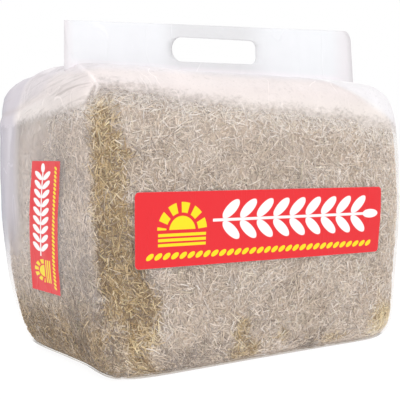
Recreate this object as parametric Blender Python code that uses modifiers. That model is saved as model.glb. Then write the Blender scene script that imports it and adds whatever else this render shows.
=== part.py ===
"""A square bale of pressed straw in a clear film carry bag.

Metres, +Z up. The origin is on the surface that the bale rests on, under its middle.
The wide front face looks along -Y, and the bag's flat header with its hand slot runs
along X on top. The bag is one closed film wall with a small vent under its base, and
its header, where the bag's top is pressed flat and sealed, is a plate of its own.
"""
import math

import bmesh
import bpy
import numpy as np
from mathutils import Vector, noise

# The bale in its bag: 16 in wide, 9 in deep and 12 in tall, as the film lies on it
BAG_WIDTH = 0.4064
BAG_DEPTH = 0.2288
BAG_HEIGHT = 0.2926
FILM_WALL = 0.0008
BASE_SQUASH = 0.004

# How round the bag is: a higher power has sharper edges
BAG_PLAN_POWER = 12.2
BAG_LOW_POWER = 13.0
BAG_TOP_POWER = 10.6

# How the bale has settled: shares of its half sizes lost at the base and at the top
BASE_LOSS_LEFT = 0.156
BASE_LOSS_RIGHT = -0.050
BASE_DEPTH_LOSS_LEFT = -0.030
BASE_DEPTH_LOSS_RIGHT = 0.312
TOP_LOSS_LEFT = -0.039
TOP_LOSS_RIGHT = 0.074
SETTLED_SHARE = 0.6

# Local fullness: centre, reach and push of each soft bulge, and the height from the floor
# over which a bulge begins to lift the form too
BULGES = (
    (Vector((0.190, -0.080, 0.015)), 0.040, Vector((0.0041, -0.0028, 0.0))),
    (Vector((-0.165, -0.095, 0.012)), 0.045, Vector((-0.0082, 0.0012, 0.0))),
    (Vector((-0.185, 0.055, 0.290)), 0.050, Vector((0.012, -0.006, 0.010))),
)
FLOOR_FADE = 0.05

# The film rises in a low ridge to the header, fading out to its ends and down the sides
RIDGE_Y = -0.033
RIDGE_LIFT = 0.0098
RIDGE_SPREAD = 0.085
RIDGE_END = 0.203
RIDGE_END_FADE = 0.030
RIDGE_FOOT = 0.250
RIDGE_FOOT_FADE = 0.045
RIDGE_SAMPLES = 99
RIDGE_SAMPLED = 0.98

# The straw inside: its clearance to the film, its top, its rounder edges and how sharply
# one roundness goes over into another, and the hollows in its face
STRAW_INSET = 0.0014
STRAW_BASE = 0.0012
STRAW_TOP = 0.2865
STRAW_PLAN_POWER = 12.0
STRAW_LOW_POWER = 12.8
STRAW_TOP_POWER = 8.0
STRAW_BLEND = 0.9
REAR_CORNER_POWER = 6.5
LUMP_DEPTH = 0.0035
LUMP_SIZE = 0.045
LUMP_FADE = 0.030

# The header: a flat double film with a hand slot, seen from the front
HEADER_THICK = 0.0012
HEADER_GAP = 0.0003
HEADER_LEFT = -0.1862
HEADER_RIGHT = 0.1895
HEADER_LEAN = 0.0020
HEADER_TOP_LEFT = 0.3468
HEADER_TOP_RIGHT = 0.3620
HEADER_CORNER = 0.012
HEADER_STATIONS = 31
SLOT_CENTRE = (-0.0089, 0.3271)
SLOT_LENGTH = 0.1094
SLOT_HEIGHT = 0.0256
SLOT_TILT = math.radians(1.25)
SLOT_LEFT_RADIUS = 0.0126
SLOT_RIGHT_RADIUS = 0.0080
CORNER_STEPS = 5

# The vent under the base
VENT_PLACE = (0.100, 0.020)
VENT_RADIUS = 0.004
VENT_SIDES = 16
VENT_PIN_LENGTH = 0.002

# Segments of the soft boxes along X, Y and Z, and the distance below which points merge
SEGMENTS = (18, 10, 14)
MERGE = 0.00001

# Colours and roughness
CLEAR_FILM = (0.90, 0.90, 0.93, 1.0)
STRAW_BEIGE = (0.56, 0.47, 0.35, 1.0)
BAG_ROUGHNESS = 0.25
HEADER_ROUGHNESS = 0.30
STRAW_ROUGHNESS = 0.85


def clear_scene():
    for thing in list(bpy.data.objects):
        bpy.data.objects.remove(thing, do_unlink=True)


def new_collection(name):
    group = bpy.data.collections.new(name)
    bpy.context.scene.collection.children.link(group)
    return group


def plain_material(name, colour, roughness):
    material = bpy.data.materials.new(name)
    material.use_nodes = True
    shader = material.node_tree.nodes["Principled BSDF"]
    shader.inputs["Base Color"].default_value = colour
    shader.inputs["Roughness"].default_value = roughness
    shader.inputs["Metallic"].default_value = 0.0
    material.diffuse_color = colour
    return material


def ease(t):
    """A soft step from 0 to 1."""
    t = np.clip(t, 0.0, 1.0)
    return t * t * (3.0 - 2.0 * t)


def cut_places(count):
    """Places from -1 to 1 that crowd towards both ends, without the ends themselves."""
    return np.sin(0.5 * math.pi * np.linspace(-1.0, 1.0, count + 1))[1:-1]


def gridded_cube(segments):
    """A cube of half size 1, cut across each axis into the given number of strips."""
    bm = bmesh.new()
    bmesh.ops.create_cube(bm, size=2.0)
    for axis, count in enumerate(segments):
        normal = Vector((0.0, 0.0, 0.0))
        normal[axis] = 1.0
        for place in cut_places(count):
            everything = bm.verts[:] + bm.edges[:] + bm.faces[:]
            bmesh.ops.bisect_plane(
                bm, geom=everything, dist=MERGE, plane_co=normal * place, plane_no=normal)
    return bm


def soft_box(cube, half, plan_power, side_power):
    """Cube points pulled in to a box whose plan and sides are superellipses."""
    x, y, z = np.abs(cube).T
    plan = (x ** plan_power + y ** plan_power) ** (1.0 / plan_power)
    reach = (plan ** side_power + z ** side_power) ** (-1.0 / side_power)
    return cube * reach[:, None] * half


def standing_block(cube, inset, low, top, plan_power, side_power):
    """A soft box from low to top, with its lowest few millimetres pressed flat."""
    tall = top - low
    half = np.array((0.5 * BAG_WIDTH - inset, 0.5 * BAG_DEPTH - inset, 0.5 * tall))
    place = soft_box(cube, half, plan_power, side_power)
    z = place[:, 2] + half[2]
    pressed = np.where(z < BASE_SQUASH, 0.0, (z - BASE_SQUASH) * tall / (tall - BASE_SQUASH))
    place[:, 2] = low + pressed
    return place


def settle(place):
    """The set of a real bale: its left end and its right front narrow to the base."""
    x, y, z = place.T
    low = (1.0 - np.clip(z / (SETTLED_SHARE * BAG_HEIGHT), 0.0, 1.0)) ** 2
    high = np.clip(2.0 * z / BAG_HEIGHT - 1.0, 0.0, 1.0) ** 2
    left = x < 0.0
    loss = np.where(left, BASE_LOSS_LEFT, BASE_LOSS_RIGHT) * low
    loss = loss + np.where(left, TOP_LOSS_LEFT, TOP_LOSS_RIGHT) * high
    to_right_front = np.clip(x / BAG_WIDTH + 0.5, 0.0, 1.0) * ease(0.5 - 2.0 * y / BAG_DEPTH)
    depth_loss = BASE_DEPTH_LOSS_LEFT * (1.0 - to_right_front)
    depth_loss = depth_loss + BASE_DEPTH_LOSS_RIGHT * to_right_front
    settled = np.stack((x * (1.0 - loss), y * (1.0 - depth_loss * low), z), axis=1)
    off_floor = ease(z / FLOOR_FADE)
    for centre, reach, push in BULGES:
        near = np.exp(-(((settled - np.array(centre)) / reach) ** 2).sum(axis=1))
        settled[:, 0] += near * push.x
        settled[:, 1] += near * push.y
        settled[:, 2] += near * push.z * off_floor
    return settled


def film_form(cube):
    """The film's outer face: the settled block and the low ridge under the header."""
    side_power = BAG_LOW_POWER + (BAG_TOP_POWER - BAG_LOW_POWER) * ease(0.5 + cube[:, 2])
    block = standing_block(cube, 0.0, 0.0, BAG_HEIGHT, BAG_PLAN_POWER, side_power)
    place = settle(block)
    x, y, z = place.T
    across = np.clip(1.0 - np.abs(y - RIDGE_Y) / RIDGE_SPREAD, 0.0, 1.0)
    along = ease((RIDGE_END - np.abs(x)) / RIDGE_END_FADE)
    upper = ease((z - RIDGE_FOOT) / RIDGE_FOOT_FADE)
    place[:, 2] = z + RIDGE_LIFT * across * along * upper
    return place


def straw_form(cube):
    """The straw's outer face, rounder at the far left upright edge and round the top."""
    x, y, z = cube.T
    upper = ease(0.5 + STRAW_BLEND * z)
    far_left = ease(0.5 - STRAW_BLEND * x) * ease(0.5 + STRAW_BLEND * y) * upper
    plan_power = STRAW_PLAN_POWER + (REAR_CORNER_POWER - STRAW_PLAN_POWER) * far_left
    side_power = STRAW_LOW_POWER + (STRAW_TOP_POWER - STRAW_LOW_POWER) * upper
    block = standing_block(cube, STRAW_INSET, STRAW_BASE, STRAW_TOP, plan_power, side_power)
    return settle(block)


def shape_grid(bm, form):
    """Move the grid's points to the form."""
    cube = np.array([vert.co for vert in bm.verts])
    for vert, place in zip(bm.verts, form(cube)):
        vert.co = place


def press_lumps(bm):
    """Shallow hollows where the pressed straw has pulled back, never out of the form."""
    bm.normal_update()
    pushed = []
    for vert in bm.verts:
        hollow = 0.5 + 0.5 * noise.noise(vert.co / LUMP_SIZE)
        above_base = min(1.0, (vert.co.z - STRAW_BASE) / LUMP_FADE)
        pushed.append(vert.co - vert.normal * LUMP_DEPTH * hollow * above_base)
    for vert, place in zip(bm.verts, pushed):
        vert.co = place


def mesh_object(name, bm, group, material):
    mesh = bpy.data.meshes.new(name)
    bm.to_mesh(mesh)
    bm.free()
    mesh.materials.append(material)
    mesh.shade_smooth()
    thing = bpy.data.objects.new(name, mesh)
    group.objects.link(thing)
    return thing


def rounded_outline(corners, radii):
    """Corner points joined by straight runs, each corner an arc of its own radius."""
    points = []
    count = len(corners)
    for index, radius in enumerate(radii):
        corner = np.array(corners[index])
        before = np.array(corners[index - 1]) - corner
        after = np.array(corners[(index + 1) % count]) - corner
        before = before / np.linalg.norm(before)
        after = after / np.linalg.norm(after)
        if radius == 0.0:
            points.append(corner)
            continue
        half_angle = 0.5 * math.acos(float(np.dot(before, after)))
        middle = (before + after) / np.linalg.norm(before + after)
        centre = corner + middle * radius / math.sin(half_angle)
        start = corner + before * radius / math.tan(half_angle) - centre
        end = corner + after * radius / math.tan(half_angle) - centre
        turn = math.atan2(start[0] * end[1] - start[1] * end[0], float(np.dot(start, end)))
        for step in range(CORNER_STEPS + 1):
            angle = turn * step / CORNER_STEPS
            cos, sin = math.cos(angle), math.sin(angle)
            points.append(centre + np.array((cos * start[0] - sin * start[1],
                                             sin * start[0] + cos * start[1])))
    return points


def slot_outline():
    """The hand slot: a level rounded bar, turned by its tilt about its centre."""
    half_length, half_height = 0.5 * SLOT_LENGTH, 0.5 * SLOT_HEIGHT
    corners = ((-half_length, -half_height), (half_length, -half_height),
               (half_length, half_height), (-half_length, half_height))
    radii = (SLOT_LEFT_RADIUS, SLOT_RIGHT_RADIUS, SLOT_RIGHT_RADIUS, SLOT_LEFT_RADIUS)
    cos, sin = math.cos(SLOT_TILT), math.sin(SLOT_TILT)
    return [np.array((SLOT_CENTRE[0] + cos * x - sin * z, SLOT_CENTRE[1] + sin * x + cos * z))
            for x, z in rounded_outline(corners, radii)]


def header_outline():
    """The header's edge. Its lower edge follows the film's ridge, just clear of it."""
    along = np.linspace(-RIDGE_SAMPLED, RIDGE_SAMPLED, RIDGE_SAMPLES)
    level = np.full_like(along, RIDGE_Y / (0.5 * BAG_DEPTH))
    ridge = film_form(np.stack((along, level, np.ones_like(along)), axis=1))
    half = 0.5 * (HEADER_RIGHT - HEADER_LEFT)
    crowded = np.sin(0.5 * math.pi * np.linspace(-1.0, 1.0, HEADER_STATIONS))
    stations = HEADER_LEFT + half * (1.0 + crowded)
    heights = np.interp(stations, ridge[:, 0], ridge[:, 2]) + HEADER_GAP
    corners = [(x, z) for x, z in zip(stations, heights)]
    corners += [(HEADER_RIGHT - HEADER_LEAN, HEADER_TOP_RIGHT), (HEADER_LEFT, HEADER_TOP_LEFT)]
    radii = [0.0] * len(stations) + [HEADER_CORNER, 0.0]
    return rounded_outline(corners, radii)


def closed_spline(curve, points):
    spline = curve.splines.new("POLY")
    spline.points.add(len(points) - 1)
    for target, point in zip(spline.points, points):
        target.co = (point[0], point[1], 0.0, 1.0)
    spline.use_cyclic_u = True


def bag_header(group):
    """The header as a flat outline with its slot, stood up on the ridge."""
    curve = bpy.data.curves.new("header_outline", "CURVE")
    curve.dimensions = "2D"
    curve.fill_mode = "BOTH"
    curve.extrude = 0.5 * HEADER_THICK
    closed_spline(curve, header_outline())
    closed_spline(curve, slot_outline())
    drawn = bpy.data.objects.new("header_drawn", curve)
    drawn.location = (0.0, RIDGE_Y, 0.0)
    drawn.rotation_euler = (0.5 * math.pi, 0.0, 0.0)
    group.objects.link(drawn)
    bpy.context.view_layer.update()
    view = bpy.context.evaluated_depsgraph_get()
    mesh = bpy.data.meshes.new_from_object(drawn.evaluated_get(view))
    bm = bmesh.new()
    bm.from_mesh(mesh)
    bmesh.ops.remove_doubles(bm, verts=bm.verts[:], dist=MERGE)
    film = plain_material("header_film", CLEAR_FILM, HEADER_ROUGHNESS)
    header = mesh_object("bag_header", bm, group, film)
    header.matrix_world = drawn.matrix_world
    bpy.data.objects.remove(drawn, do_unlink=True)
    bpy.data.meshes.remove(mesh)
    return header


def vent_pin(group):
    """The pin that punches the vent, longer than the film is thick."""
    bm = bmesh.new()
    bmesh.ops.create_cone(bm, cap_ends=True, segments=VENT_SIDES, depth=VENT_PIN_LENGTH,
                          radius1=VENT_RADIUS, radius2=VENT_RADIUS)
    mesh = bpy.data.meshes.new("vent_pin")
    bm.to_mesh(mesh)
    bm.free()
    pin = bpy.data.objects.new("vent_pin", mesh)
    pin.location = (VENT_PLACE[0], VENT_PLACE[1], 0.0)
    pin.hide_render = True
    pin.display_type = "WIRE"
    group.objects.link(pin)
    return pin


def carry_bag(group, guides):
    """The film bag below the header: one wall inside the form, with a vent below."""
    bm = gridded_cube(SEGMENTS)
    shape_grid(bm, film_form)
    film = plain_material("clear_film", CLEAR_FILM, BAG_ROUGHNESS)
    bag = mesh_object("carry_bag", bm, group, film)
    wall = bag.modifiers.new("film_wall", "SOLIDIFY")
    wall.thickness = FILM_WALL
    wall.offset = -1.0
    wall.use_even_offset = True
    vent = bag.modifiers.new("vent", "BOOLEAN")
    vent.operation = "DIFFERENCE"
    vent.solver = "EXACT"
    vent.object = vent_pin(guides)
    return bag


def straw_block(group):
    """The pressed straw: one block that fills the bag but for its soft edges."""
    bm = gridded_cube(SEGMENTS)
    shape_grid(bm, straw_form)
    press_lumps(bm)
    straw = plain_material("straw", STRAW_BEIGE, STRAW_ROUGHNESS)
    return mesh_object("straw_block", bm, group, straw)


clear_scene()
bale = new_collection("bagged_straw_bale")
cutters = new_collection("cutters")
straw_block(bale)
carry_bag(bale, cutters)
bag_header(bale)
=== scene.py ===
"""The looks of a bagged straw bale: pressed straw, the clear film bag and its header."""
import math

import bpy
import numpy as np
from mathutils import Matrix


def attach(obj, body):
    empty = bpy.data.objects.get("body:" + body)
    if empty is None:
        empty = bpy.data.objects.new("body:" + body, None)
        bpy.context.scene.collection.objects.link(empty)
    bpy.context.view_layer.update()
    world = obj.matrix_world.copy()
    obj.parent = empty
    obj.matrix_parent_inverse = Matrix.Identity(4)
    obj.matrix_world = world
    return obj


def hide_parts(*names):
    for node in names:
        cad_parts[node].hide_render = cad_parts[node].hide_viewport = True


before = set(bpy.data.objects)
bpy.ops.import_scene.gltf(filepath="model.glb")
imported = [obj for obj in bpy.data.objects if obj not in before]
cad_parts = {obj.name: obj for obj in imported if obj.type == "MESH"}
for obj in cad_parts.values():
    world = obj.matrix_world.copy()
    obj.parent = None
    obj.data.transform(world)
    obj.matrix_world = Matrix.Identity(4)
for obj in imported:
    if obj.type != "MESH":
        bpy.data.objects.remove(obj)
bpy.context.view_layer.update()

# The camera of the photograph, from the bale's perspective
IMAGE_SIZE = 400.0
SENSOR = 36.0
FOCAL_PIXELS = 950.0
CAMERA_PLACE = (-0.5837, -0.8910, 0.2140)
CAMERA_YAW = 0.57463
CAMERA_PITCH = 0.04646

# The bag's form: the same driving values as the solids
BAG_WIDTH = 0.4064
BAG_DEPTH = 0.2288
BAG_HEIGHT = 0.2926
BASE_SQUASH = 0.004
FLOOR_FADE = 0.05
BAG_PLAN_POWER = 12.2
BAG_LOW_POWER = 13.0
BAG_TOP_POWER = 10.6
BASE_LOSS_LEFT = 0.156
BASE_LOSS_RIGHT = -0.050
BASE_DEPTH_LOSS_LEFT = -0.030
BASE_DEPTH_LOSS_RIGHT = 0.312
TOP_LOSS_LEFT = -0.039
TOP_LOSS_RIGHT = 0.074
SETTLED_SHARE = 0.6
BULGES = (
    ((0.190, -0.080, 0.015), 0.040, (0.0041, -0.0028, 0.0)),
    ((-0.165, -0.095, 0.012), 0.045, (-0.0082, 0.0012, 0.0)),
    ((-0.185, 0.055, 0.290), 0.050, (0.012, -0.006, 0.010)),
)
RIDGE_Y = -0.033
RIDGE_LIFT = 0.0098
RIDGE_SPREAD = 0.085
RIDGE_END = 0.203
RIDGE_END_FADE = 0.030
RIDGE_FOOT = 0.250
RIDGE_FOOT_FADE = 0.045
RIDGE_SAMPLES = 199
RIDGE_SAMPLED = 0.98

# The straw's form
STRAW_INSET = 0.0014
STRAW_BASE = 0.0012
STRAW_TOP = 0.2865
STRAW_PLAN_POWER = 12.0
STRAW_LOW_POWER = 12.8
STRAW_TOP_POWER = 8.0
REAR_CORNER_POWER = 6.5
STRAW_BLEND = 0.9

# The header
HEADER_LEFT = -0.1862
HEADER_RIGHT = 0.1895
HEADER_LEAN = 0.0020
HEADER_TOP_LEFT = 0.3468
HEADER_TOP_RIGHT = 0.3620
HEADER_CORNER = 0.012
HEADER_FILM = 0.0006
HEADER_SINK = 0.0015
HEADER_WAVE = 0.0030
HEADER_CURL = 0.0060
SLOT_CENTRE = (-0.0089, 0.3271)
SLOT_LENGTH = 0.1094
SLOT_HEIGHT = 0.0256
SLOT_TILT = math.radians(1.25)
SLOT_RADII = (0.0126, 0.0080, 0.0080, 0.0126)

# The red panels on the front and the left end: the middle's place along and height, then
# width, height and corner radius
FRONT_PANEL = (0.0026, 0.1435, 0.3125, 0.0728, 0.0045)
SIDE_PANEL = (-0.0160, 0.1425, 0.0678, 0.1330, 0.0006)
SIDE_LEAN = 0.20

# The milky shoulder of the film, partly film standing off the straw and partly a painted
# reflection: at each x, the heights where it begins and is full
SHOULDER_X = (-0.190, -0.173, -0.131, -0.080, -0.002, 0.092, 0.153, 0.195)
SHOULDER_LOW = (0.260, 0.2625, 0.2585, 0.2540, 0.2480, 0.2400, 0.2300, 0.222)
SHOULDER_HIGH = (0.285, 0.2870, 0.2815, 0.2775, 0.2735, 0.2700, 0.2620, 0.254)
# The same on the left end: where it begins at y = 0, its fall to the rear and its height
LEFT_SHOULDER = 0.2430
LEFT_SHOULDER_FALL = 0.07
LEFT_SHOULDER_TALL = 0.014
# How far clouds move the shoulder's edge: broad ones on the back and right end, and small
BROAD_CLOUDS = 0.90
SMALL_CLOUDS = 0.20

# Brown and golden spots low on the front: x, z, half width and half height
SPOTS = (
    (-0.014, 0.010, 0.026, 0.012), (-0.021, 0.033, 0.010, 0.014), (0.035, 0.022, 0.009, 0.008),
    (0.110, 0.010, 0.014, 0.005),
)
# The golden column by the near upright edge: its reach along the front at each height
COLUMN_Z = (0.030, 0.080, 0.110, 0.150, 0.180, 0.210, 0.233, 0.260, 0.280)
COLUMN_REACH = (0.062, 0.072, 0.066, 0.050, 0.042, 0.038, 0.030, 0.022, 0.010)
COLUMN_TUFTS = 0.036
# Lighter and darker patches low on the front: x from, to and soft edge, height from, to and
# soft edge, and how much lighter. OPEN is past the bale, for a side without a limit.
OPEN = 1.0
LIGHT_PATCHES = (
    ((0.172, OPEN, 0.024), (-OPEN, 0.034, 0.016), 0.56),
    ((-0.150, -0.112, 0.020), (0.024, 0.048, 0.012), 0.22),
    ((-0.116, -0.064, 0.020), (-OPEN, 0.025, 0.010), -0.38),
    ((0.062, 0.092, 0.020), (-OPEN, 0.012, 0.008), -0.20),
    ((0.066, 0.105, 0.020), (-OPEN, 0.023, 0.010), -0.24),
    ((-0.052, -0.030, 0.020), (-OPEN, 0.027, 0.010), -0.20),
)
# Painted light: how much lighter the straw is up the shoulder, at the left end's rear and to the
# right
SHOULDER_LIGHT = 0.52
UNDER_SHOULDER_LIGHT = 0.14
LEFT_SHOULDER_LIGHT = 0.56
LEFT_REAR_LIGHT = 0.22
LEFT_FOOT_LIGHT = 0.16
RIGHT_LIGHT = 0.10
# Painted shade: how much darker it is, each with what it gains further down
EDGE_FOOT_SHADE = 0.27
NEAR_HALF_SHADE = (0.12, 0.10)
EDGE_SHADE = (0.08, 0.10)
LEFT_LOW_SHADE = (0.32, 0.24)
COLUMN_SHADE = (0.06, 0.11, 0.09)

SEED = 20


def ease(t):
    """A soft step from 0 to 1."""
    t = np.clip(t, 0.0, 1.0)
    return t * t * (3.0 - 2.0 * t)


class Grain:
    """Smooth value noise: random numbers on a lattice, blended between its points."""

    def __init__(self, seed):
        self.table = np.random.default_rng(seed).random((32, 32, 32))

    def __call__(self, place, size):
        cell = np.asarray(place) / size
        low = np.floor(cell).astype(int)
        part = ease(cell - low)
        total = np.zeros(cell.shape[:-1])
        for corner in range(8):
            step = np.array((corner & 1, corner >> 1 & 1, corner >> 2 & 1))
            weight = np.prod(np.where(step, part, 1.0 - part), axis=-1)
            index = (low + step) % 32
            total += weight * self.table[index[..., 0], index[..., 1], index[..., 2]]
        return total


GRAIN = Grain(SEED)


def soft_box(cube, half, plan_power, side_power):
    """Cube points pulled in to a box whose plan and sides are superellipses."""
    x, y, z = np.moveaxis(np.abs(cube), -1, 0)
    plan = (x ** plan_power + y ** plan_power) ** (1.0 / plan_power)
    reach = (plan ** side_power + z ** side_power) ** (-1.0 / side_power)
    return cube * reach[..., None] * half


def standing_block(cube, inset, low, top, plan_power, side_power):
    """A soft box from low to top, with its lowest few millimetres pressed flat."""
    tall = top - low
    half = np.array((0.5 * BAG_WIDTH - inset, 0.5 * BAG_DEPTH - inset, 0.5 * tall))
    place = soft_box(cube, half, plan_power, side_power)
    z = place[..., 2] + half[2]
    pressed = np.where(z < BASE_SQUASH, 0.0, (z - BASE_SQUASH) * tall / (tall - BASE_SQUASH))
    place[..., 2] = low + pressed
    return place


def settle(place):
    """The set of a real bale: its left end and its right front narrow to the base."""
    x, y, z = np.moveaxis(place, -1, 0)
    low = (1.0 - np.clip(z / (SETTLED_SHARE * BAG_HEIGHT), 0.0, 1.0)) ** 2
    high = np.clip(2.0 * z / BAG_HEIGHT - 1.0, 0.0, 1.0) ** 2
    left = x < 0.0
    loss = np.where(left, BASE_LOSS_LEFT, BASE_LOSS_RIGHT) * low
    loss = loss + np.where(left, TOP_LOSS_LEFT, TOP_LOSS_RIGHT) * high
    to_right_front = np.clip(x / BAG_WIDTH + 0.5, 0.0, 1.0) * ease(0.5 - 2.0 * y / BAG_DEPTH)
    depth_loss = BASE_DEPTH_LOSS_LEFT * (1.0 - to_right_front)
    depth_loss = depth_loss + BASE_DEPTH_LOSS_RIGHT * to_right_front
    settled = np.stack((x * (1.0 - loss), y * (1.0 - depth_loss * low), z), axis=-1)
    off_floor = ease(z / FLOOR_FADE)
    for centre, reach, push in BULGES:
        near = np.exp(-(((settled - np.array(centre)) / reach) ** 2).sum(axis=-1))
        settled[..., 0] += near * push[0]
        settled[..., 1] += near * push[1]
        settled[..., 2] += near * push[2] * off_floor
    return settled


def film_form(cube):
    """The film's face: the settled block and the low ridge under the header."""
    side_power = BAG_LOW_POWER + (BAG_TOP_POWER - BAG_LOW_POWER) * ease(0.5 + cube[..., 2])
    place = settle(standing_block(cube, 0.0, 0.0, BAG_HEIGHT, BAG_PLAN_POWER, side_power))
    x, y, z = np.moveaxis(place, -1, 0)
    across = np.clip(1.0 - np.abs(y - RIDGE_Y) / RIDGE_SPREAD, 0.0, 1.0)
    along = ease((RIDGE_END - np.abs(x)) / RIDGE_END_FADE)
    above_foot = ease((z - RIDGE_FOOT) / RIDGE_FOOT_FADE)
    place[..., 2] = z + RIDGE_LIFT * across * along * above_foot
    return place


def straw_form(cube):
    """The straw's face, rounder at the far left upright edge and round the top."""
    x, y, z = np.moveaxis(cube / np.abs(cube).max(axis=-1, keepdims=True), -1, 0)
    upper = ease(0.5 + STRAW_BLEND * z)
    far_left = ease(0.5 - STRAW_BLEND * x) * ease(0.5 + STRAW_BLEND * y) * upper
    plan_power = STRAW_PLAN_POWER + (REAR_CORNER_POWER - STRAW_PLAN_POWER) * far_left
    side_power = STRAW_LOW_POWER + (STRAW_TOP_POWER - STRAW_LOW_POWER) * upper
    return settle(standing_block(
        cube, STRAW_INSET, STRAW_BASE, STRAW_TOP, plan_power, side_power))


def round_edge(cube):
    """The way round the near upright edge in metres: 0 on it, more along the front."""
    half_width, half_depth = 0.5 * BAG_WIDTH, 0.5 * BAG_DEPTH
    side = np.abs(cube).max(axis=-1)
    return (cube[..., 0] / side + 1.0) * half_width - (cube[..., 1] / side + 1.0) * half_depth


def within(value, low, high, soft):
    """1 between low and high, easing out over a soft edge."""
    return ease((value - low) / soft + 0.5) * ease((high - value) / soft + 0.5)


def near_edge(x, y):
    """1 on the front half of the left quarter, where the near upright edge stands."""
    return (x < -0.1) * (y < 0.0)


def on_left(cube, place):
    """1 on the left end, easing to 0 round its upright edges."""
    x, y, z = np.moveaxis(place, -1, 0)
    near = ease((0.002 - round_edge(cube)) / 0.010) * near_edge(x, y)
    end = -cube[..., 0] / np.abs(cube).max(axis=-1)
    return np.maximum(near, ease((end - 0.90) / 0.08) * (y > -0.05))


def shoulder_share(cube, place):
    """The way up the film's shoulder: 0 where it is clear, 1 where it is milky, partly a painted
    reflection.
    """
    x, y, z = np.moveaxis(place, -1, 0)
    low = np.interp(x, SHOULDER_X, SHOULDER_LOW)
    high = np.interp(x, SHOULDER_X, SHOULDER_HIGH)
    left = on_left(cube, place)
    front_share = (z - low) / (high - low)
    left_share = (z + LEFT_SHOULDER_FALL * y - LEFT_SHOULDER) / LEFT_SHOULDER_TALL
    share = front_share * (1.0 - left) + left_share * left
    far_sides = np.maximum(ease((x - 0.190) / 0.010), ease(y / 0.050) * (1.0 - left))
    share = share + BROAD_CLOUDS * far_sides * (GRAIN(place + 14.0, 0.070) - 0.5)
    return np.clip(share + SMALL_CLOUDS * (GRAIN(place + 1.0, 0.020) - 0.5), 0.0, 1.0)


def clear_places(cube, place):
    """Where the film clings and the golden straw shows: by the near edge and low down."""
    x, y, z = np.moveaxis(place, -1, 0)
    patchy = GRAIN(place + 4.0, 0.024)
    tufts = 0.6 * GRAIN(place + 9.0, 0.022) + 0.4 * GRAIN(place + 12.0, 0.008) - 0.5
    edge = round_edge(cube)
    reach = np.interp(z, COLUMN_Z, COLUMN_REACH) + COLUMN_TUFTS * tufts
    column = ease((edge + 0.008) / 0.014) * ease((reach - edge) / 0.012 + 0.5)
    column *= ease((0.274 - z) / 0.024) * (y < 0.0)
    column *= 1.0 - 0.45 * ease((0.075 - z) / 0.030) * ease((0.034 - edge) / 0.010)
    front = ease((-0.070 - y) / 0.02)
    foot = ease((0.092 - z) / 0.065) * ease((-0.130 - x) / 0.030) * ease((0.010 - edge) / 0.020)
    low_right = within(x, 0.170, OPEN, 0.024) * within(z, -OPEN, 0.042, 0.016) * front
    spots = np.zeros_like(x)
    for at, high, wide, tall in SPOTS:
        off = ((x - at) / wide) ** 2 + ((z - high) / tall) ** 2 + 1.6 * (patchy - 0.5)
        spots = np.maximum(spots, ease(1.5 - off) * front)
    return np.clip(np.maximum.reduce((column, 0.8 * foot, low_right, 0.8 * spots)), 0.0, 1.0)


def stalk_light(cube, place):
    """Painted light and shade on the straw: how much lighter it is at a place, or darker below 0.
    """
    x, y, z = np.moveaxis(place, -1, 0)
    edge = round_edge(cube)
    left = on_left(cube, place)
    front = 1.0 - left
    by_edge = near_edge(x, y)
    over = z - np.interp(x, SHOULDER_X, SHOULDER_LOW)
    over_left = z + LEFT_SHOULDER_FALL * y - LEFT_SHOULDER
    light = SHOULDER_LIGHT * front * ease((over + 0.008) / 0.014)
    light += UNDER_SHOULDER_LIGHT * front * ease((over + 0.030) / 0.030)
    light += LEFT_SHOULDER_LIGHT * left * ease((over_left + 0.006) / 0.012)
    light += LEFT_REAR_LIGHT * left * ease(y / 0.020) * ease((z - 0.080) / 0.050)
    light += RIGHT_LIGHT * ease((x - 0.080) / 0.080) * (y < 0.0)
    for along, up, lighter in LIGHT_PATCHES:
        light += lighter * within(x, *along) * within(z, *up) * (y < 0.0)
    foot = ease((0.028 - edge) / 0.012) * ease((0.058 - z) / 0.020) * by_edge
    light += LEFT_FOOT_LIGHT * foot * left * within(edge, -0.075, -0.042, 0.012)
    light -= EDGE_FOOT_SHADE * foot * front * ease((0.018 - edge) / 0.012)
    half = left * ease((edge + 0.090) / 0.030) * (1.0 - 0.45 * foot * ease((edge + 0.034) / 0.014))
    lower = ease((0.160 - z) / 0.05)
    light -= half * (NEAR_HALF_SHADE[0] * ease((0.252 - z) / 0.03) + NEAR_HALF_SHADE[1] * lower)
    turn = ease((edge + 0.036) / 0.030) * ease((0.016 - edge) / 0.014) * by_edge
    light -= turn * within(z, 0.052, 0.235, 0.03) * (EDGE_SHADE[0] + EDGE_SHADE[1] * lower)
    less = LEFT_LOW_SHADE[1] * ease((edge + 0.060) / 0.040)
    light -= left * ease((0.108 - z) / 0.085) * (LEFT_LOW_SHADE[0] - less)
    reach = np.interp(z, COLUMN_Z, COLUMN_REACH)
    column = ease((edge + 0.006) / 0.014) * ease((reach - edge) / 0.014 + 0.5) * (y < 0.0)
    light -= column * (COLUMN_SHADE[0] + COLUMN_SHADE[1] * ease((0.170 - z) / 0.05)
                       - COLUMN_SHADE[2] * ease((0.070 - z) / 0.03))
    return light


# The cube's six sides: the axis that each faces, its sign, and the axes along and up it
SIDES = {
    "right": (0, 1.0, 1, 2), "left": (0, -1.0, 2, 1),
    "back": (1, 1.0, 2, 0), "front": (1, -1.0, 0, 2),
    "top": (2, 1.0, 0, 1), "base": (2, -1.0, 1, 0),
}


def on_side(side, a, b):
    """Points of one cube side at the places a along and b up it, each from -1 to 1."""
    facing, sign, along, up = SIDES[side]
    cube = np.empty(np.shape(a) + (3,))
    cube[..., facing] = sign
    cube[..., along] = a
    cube[..., up] = b
    return cube


def unit(vectors):
    return vectors / np.linalg.norm(vectors, axis=-1, keepdims=True)


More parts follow.
